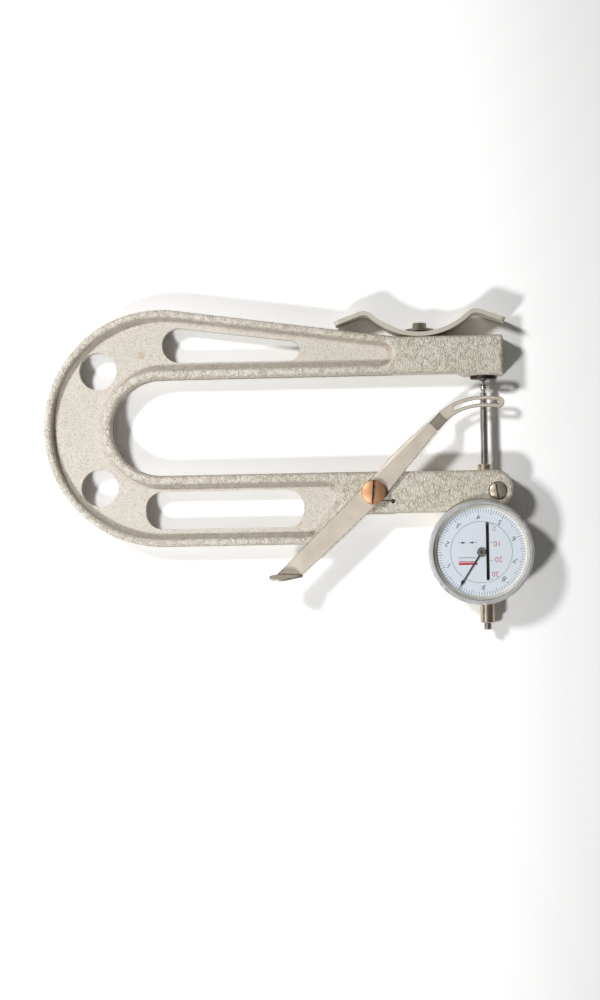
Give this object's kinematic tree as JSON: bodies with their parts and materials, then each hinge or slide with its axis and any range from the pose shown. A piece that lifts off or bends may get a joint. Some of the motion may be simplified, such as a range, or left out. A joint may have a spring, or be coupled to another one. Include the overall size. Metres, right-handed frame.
{
  "type": "dial thickness gauge",
  "caption": "Deep-throat dial thickness gauge: cast C-frame with anvil, spindle raised by a bent thumb lever, round dial clamped in the lower arm and a wave-bent foot bracket.",
  "frame": {"origin": "centre of the dial gauge's flat back, which lies on the ground plane", "axes": "+X along the arms towards their free ends, +Y the measuring axis towards the anvil, +Z out of the dial"},
  "size_m": [0.273, 0.1826, 0.0315],
  "materials": {
    "frame_paint": "champagne-grey hammertone paint",
    "bracket_paint": "smooth champagne-grey paint",
    "lever_nickel": "worn nickel plate",
    "pivot_copper": "copper-coloured, aged",
    "screw_nickel": "nickel-plated steel",
    "anvil_steel": "dark oxidised steel",
    "rod_steel": "dark polished steel",
    "case_plate": "satin plated",
    "cap_nickel": "brownish worn nickel",
    "bezel_plate": "pale satin with worn spots",
    "brass": "bright brass",
    "spring_steel": "drawn wire",
    "dial_paint": "matt white",
    "crystal": "clear",
    "gasket": "black",
    "pointer_paint": "satin blue-black"
  },
  "bodies": {
    "frame": {"anvil": "anvil_steel", "back_cover": "case_plate", "back_cover_screws": "screw_nickel", "bezel_snap_ring": "spring_steel", "bezel_spring": "spring_steel", "bridge_screws": "screw_nickel", "c_frame": "frame_paint", "dial_case": "case_plate", "dial_pillars": "brass", "dial_stem": "case_plate", "foot_bracket": "bracket_paint", "foot_screw": "screw_nickel", "foot_washer": "screw_nickel", "guide_rail": "rod_steel", "inner_bush": "brass", "inner_dial": "dial_paint", "lever_pivot_screw": "pivot_copper", "lever_spring": "spring_steel", "movement_bridge": "brass", "movement_pillars": "brass", "movement_plate": "brass", "pivot_spacer": "brass", "rear_bush": "brass", "rear_cap": "cap_nickel", "return_post": "rod_steel", "return_spring": "spring_steel", "stem_bush": "brass", "stem_clamp_screw": "screw_nickel"},
    "spindle": {"spindle": "rod_steel", "contact_tip": "rod_steel", "lift_pin": "screw_nickel", "guide_pin": "rod_steel", "mm_cursor": "pointer_paint", "return_pin": "rod_steel"},
    "lever": {"lift_lever": "lever_nickel"},
    "pointer": {"pointer": "pointer_paint", "centre_pinion": "rod_steel"},
    "wheel": {"take_up_wheel": "brass", "hairspring": "spring_steel"},
    "bezel": {"bezel": "bezel_plate", "graduated_ring": "dial_paint", "crystal_ring": "brass", "crystal_gasket": "gasket", "crystal": "crystal"}
  },
  "joints": [
    {"name": "spindle_lift", "type": "slide", "parent": "frame", "child": "spindle", "axis": [0, -1, 0], "range_m": [0, 0.03], "stiffness_N_per_m": 20, "springref_m": -0.05},
    {"name": "lever_swing", "type": "hinge", "parent": "frame", "child": "lever", "pos_m": [-0.05871, 0.0343, 0.0196], "axis": [0, 0, -1], "range_deg": [0, 27.5], "stiffness_Nm_per_rad": 0.02, "springref_deg": -34.38, "deforming": ["lever_spring"]},
    {"name": "pointer_spin", "type": "hinge", "parent": "frame", "child": "pointer", "pos_m": [0, 0, 0.009], "axis": [0, 0, -1], "range_deg": [0, 1080]},
    {"name": "wheel_spin", "type": "hinge", "parent": "frame", "child": "wheel", "pos_m": [-0.00796, 0, 0.0075], "axis": [0, 0, 1], "range_deg": [0, 270]},
    {"name": "bezel_turn", "type": "hinge", "parent": "frame", "child": "bezel", "pos_m": [0, 0, 0.021], "axis": [0, 0, 1], "continuous": true}
  ],
  "couplings": [
    {"joint": "lever_swing", "follows": "spindle_lift", "rad_per_m": 15.999},
    {"joint": "pointer_spin", "follows": "spindle_lift", "rad_per_m": 628.32},
    {"joint": "wheel_spin", "follows": "spindle_lift", "rad_per_m": 157.08}
  ]
}
